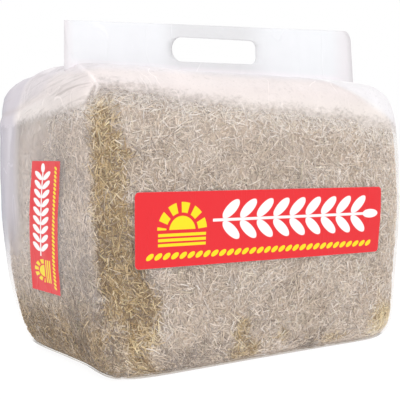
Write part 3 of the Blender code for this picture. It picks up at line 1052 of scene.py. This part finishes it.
def film_material(panel_print, crinkle):
    """Clear hazy film. Alpha says how much of the film itself shows over the straw."""
    material, n, shader = new_material("bag_film")
    where, x, y, z = n.place()
    haze, cool_and_shaded, shade = n.painted("film_tone")
    base_shadow, corner, left_top = n.painted("film_place")
    cloud = n.noise(where, 55.0, 3.0, 0.6)
    look = use_group(n, crinkle, Scale=24.0, Rise=0.28, Width=0.010)
    alpha = n.plus(haze, n.times(n.minus(cloud, 0.5), 0.10))
    # Painted highlights along fine creases
    alpha = n.plus(alpha, n.times(look.outputs["Lines"], 0.16))
    # The milky shoulder, partly film standing off the straw and partly a painted reflection, which
    # breaks up into strands at its lower edge
    share, full = n.painted("film_milk")[:2]
    strands = n.minus(n.noise(where, 240.0, 3.0, 0.7, (0.7, 0.7, 1.0)), 0.5)
    milk_and_reflection = n.span(n.plus(share, n.times(strands, 1.1)), 0.20, 1.05)
    milk_and_reflection = n.times(n.minus(milk_and_reflection, n.times(strands, 0.4)), full)
    milk_and_reflection = n.times(milk_and_reflection, n.span(share, 0.0, 0.2))
    alpha = n.plus(alpha, n.times(milk_and_reflection, 0.66))
    # Painted shade along slanting folds at the left top and along one deeper fold; the film is a
    # little clearer in the slanting ones
    slanted = n.point(n.times(y, 24.0), n.times(n.plus(z, n.times(y, 0.26)), 210.0))
    folds = n.noise(slanted, 1.0, 2.0, 0.6)
    fold_shade = n.times(left_top, n.span(folds, 0.52, 0.36))
    deep_fold_shade = n.span(n.apart(n.plus(z, n.times(y, 0.22)), 0.2582), 0.0018, 0.0002)
    deep_fold_shade = n.times(n.times(deep_fold_shade, left_top), band(n, y, -0.112, -0.060))
    alpha = n.minus(alpha, n.times(fold_shade, 0.09))
    alpha = n.plus(alpha, n.times(corner, 0.08), clamp=True)
    # Painted contact shadow along the base's edge: more of the film shows there
    alpha = n.larger(alpha, n.times(base_shadow, 0.62))
    veil = n.mix(n.span(z, 0.255, 0.285), WARM_VEIL, SHOULDER_VEIL)
    veil = n.mix(n.span(z, 0.290, 0.300, 0.0, 0.8), veil, HEADER_FOOT)
    veil = n.mix(corner, veil, CORNER_VEIL)
    # The cooler veil, darkened as painted shade
    veil = n.mix(cool_and_shaded, veil, COOL_SHADED_VEIL)
    far_edge = n.times(n.span(x, -0.180, -0.190), n.span(y, 0.072, 0.100))
    veil = n.mix(n.times(far_edge, cool_and_shaded), veil, EDGE_VEIL)
    # Painted shade: creases, header's foot, left shoulder, slanting folds and one deeper fold
    shade = n.larger(shade, n.times(fold_shade, 0.28))
    veil = n.mix(n.larger(shade, n.times(deep_fold_shade, 0.55)), veil, SHADE_VEIL)
    # Painted contact shadow along the base's edge, in dark brown
    veil = n.mix(base_shadow, veil, BASE_SHADOW_VEIL)
    # The prints: on the front and back along x, on both ends along z with the top to the rear
    wide = {"Length": FRONT_PANEL[2], "Height": FRONT_PANEL[3], "Corner": FRONT_PANEL[4]}
    end = {"Length": SIDE_PANEL[3], "Height": SIDE_PANEL[2], "Corner": SIDE_PANEL[4]}
    across = n.minus(x, FRONT_PANEL[0])
    above_wide = n.minus(z, FRONT_PANEL[1] - 0.5 * FRONT_PANEL[3])
    above_end = n.minus(z, SIDE_PANEL[1] - 0.5 * SIDE_PANEL[3])
    leaning = n.plus(n.minus(y, SIDE_PANEL[0]), n.times(n.minus(z, SIDE_PANEL[1]), SIDE_LEAN))
    middle, half = 0.5 * FRONT_PANEL[2], 0.5 * SIDE_PANEL[2]
    faces = (
        (n.span(y, -0.07, -0.09), n.plus(across, middle), above_wide, wide),
        (n.span(y, 0.07, 0.09), n.minus(middle, across), above_wide, wide),
        (n.span(x, -0.17, -0.18), above_end, n.plus(leaning, half), end),
        (n.span(x, 0.17, 0.18), above_end, n.plus(n.minus(SIDE_PANEL[0], y), half), end),
    )
    for facing, along, up, size in faces:
        panel = use_group(n, panel_print, Along=along, Up=up, **size)
        ink = n.times(panel.outputs["Ink"], facing)
        veil = n.mix(ink, veil, panel.outputs["Colour"])
        alpha = n.larger(alpha, ink)
    rough = n.span(cloud, 0.2, 0.8, 0.28, 0.48)
    n.fill(shader, Base_Color=veil, Alpha=alpha, Roughness=rough, Specular_IOR_Level=0.35)
    add_bump(n, shader, look.outputs["Height"], 0.35, 0.0015)
    return material


WARM_VEIL = linear(248, 239, 234)
SHOULDER_VEIL = linear(244, 234, 232)
COOL_SHADED_VEIL = linear(205, 199, 207)
EDGE_VEIL = linear(172, 170, 183)
SHADE_VEIL = linear(184, 172, 170)
CORNER_VEIL = linear(253, 251, 252)
BASE_SHADOW_VEIL = linear(142, 123, 103)
HEADER_MIDDLE = linear(227, 227, 229)
HEADER_FOLDED = linear(239, 240, 243)
HEADER_FOOT = linear(252, 247, 251)
HEADER_END = linear(235, 231, 234)


def header_material(crinkle):
    """The header's film: two layers by the slot, four outside the gussets' inner folds."""
    material, n, shader = new_material("header_film")
    where, x, y, z = n.place()
    cloud = n.noise(where, 30.0, 2.0)
    look = use_group(n, crinkle, Scale=16.0, Rise=0.35, Width=0.010)
    folded = n.larger(n.span(x, -0.0840, -0.0500, 1.0, 0.0), n.span(x, 0.0200, 0.0750))
    ends = n.larger(n.span(x, -0.174, -0.186), n.span(x, 0.150, 0.180))
    foot = n.span(z, 0.312, 0.302)
    colour = n.mix(folded, HEADER_MIDDLE, HEADER_FOLDED)
    colour = n.mix(n.times(foot, 0.8), colour, HEADER_FOOT)
    colour = n.mix(ends, colour, HEADER_END)
    alpha = n.plus(n.span(folded, 0.0, 1.0, 0.80, 0.86), n.times(n.minus(cloud, 0.5), 0.10))
    # Painted highlights along fine creases
    alpha = n.plus(alpha, n.times(look.outputs["Lines"], 0.10), clamp=True)
    rough = n.span(cloud, 0.2, 0.8, 0.28, 0.45)
    n.fill(shader, Base_Color=colour, Alpha=alpha, Roughness=rough, Specular_IOR_Level=0.3)
    add_bump(n, shader, look.outputs["Height"], 0.3, 0.002)
    return material


# Stage

FLOOR_GLOW = 0.92
KEY_PLACE = (-0.9, -1.9, 1.5)
KEY_TARGET = (0.0, 0.0, 0.15)
KEY_SIZE = 1.2
KEY_POWER = 15.0


def add_camera():
    camera = bpy.data.cameras.new("camera")
    camera.sensor_width = SENSOR
    camera.lens = SENSOR * FOCAL_PIXELS / IMAGE_SIZE
    camera.clip_start = 0.05
    thing = add_thing("camera", camera)
    thing.location = CAMERA_PLACE
    thing.rotation_euler = (0.5 * math.pi - CAMERA_PITCH, 0.0, -CAMERA_YAW)
    bpy.context.scene.camera = thing


def add_floor():
    """A wide pale floor that glows faintly, like a lit studio table."""
    material, n, shader = new_material("floor")
    cloud = n.noise(n.place()[0], 2.0)
    pale = n.mix(cloud, (0.13, 0.13, 0.13, 1.0), (0.15, 0.15, 0.15, 1.0))
    n.fill(shader, Base_Color=pale, Roughness=0.9, Specular_IOR_Level=0.0,
           Emission_Color=(1.0, 1.0, 1.0, 1.0), Emission_Strength=FLOOR_GLOW)
    edge = np.linspace(-6.0, 6.0, 13)
    a, b = np.meshgrid(edge, edge, indexing="ij")
    floor = build_mesh("floor", np.stack((a, b, np.zeros_like(a)), axis=-1), grid_quads(13, 13))
    floor.data.materials.append(material)


def add_light():
    light = bpy.data.lights.new("key", "AREA")
    light.shape = "SQUARE"
    light.size = KEY_SIZE
    light.energy = KEY_POWER
    thing = add_thing("key", light)
    thing.location = KEY_PLACE
    aim = np.array(KEY_TARGET) - np.array(KEY_PLACE)
    flat = math.hypot(aim[0], aim[1])
    turn = math.atan2(aim[1], aim[0]) - 0.5 * math.pi
    thing.rotation_euler = (math.atan2(flat, -aim[2]), 0.0, turn)


def add_world():
    world = bpy.data.worlds.new("studio")
    world.use_nodes = True
    background = world.node_tree.nodes["Background"]
    Nodes(world.node_tree).fill(background, Color=(1.0, 1.0, 1.0, 1.0), Strength=1.0)
    bpy.context.scene.world = world


bpy.context.scene.view_settings.view_transform = "Standard"
bpy.context.scene.cycles.transparent_max_bounces = 24
add_camera()
add_world()
add_floor()
add_light()

dry_fibre = dry_fibre_group()
film_crinkle = film_crinkle_group()
stalk_finish = stalk_material(dry_fibre)
core = straw_core()
core.data.materials.append(core_material(dry_fibre))
straw = [core]
for order, side in enumerate(SIDES):
    for name, counts, rings, middle_length, longest, seed in STALK_KINDS:
        piece = stalks(
            name + side, side, counts[order], rings, middle_length, longest, seed + order)
        piece.data.materials.append(stalk_finish)
        straw.append(piece)
for piece in straw:
    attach(piece, "root")
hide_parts("straw_block")

bag = film_skin()
bag.data.materials.append(film_material(panel_print_group(), film_crinkle))
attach(bag, "root")
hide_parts("carry_bag")

header = header_film()
header.data.materials.append(header_material(film_crinkle))
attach(header, "root")
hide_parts("bag_header")
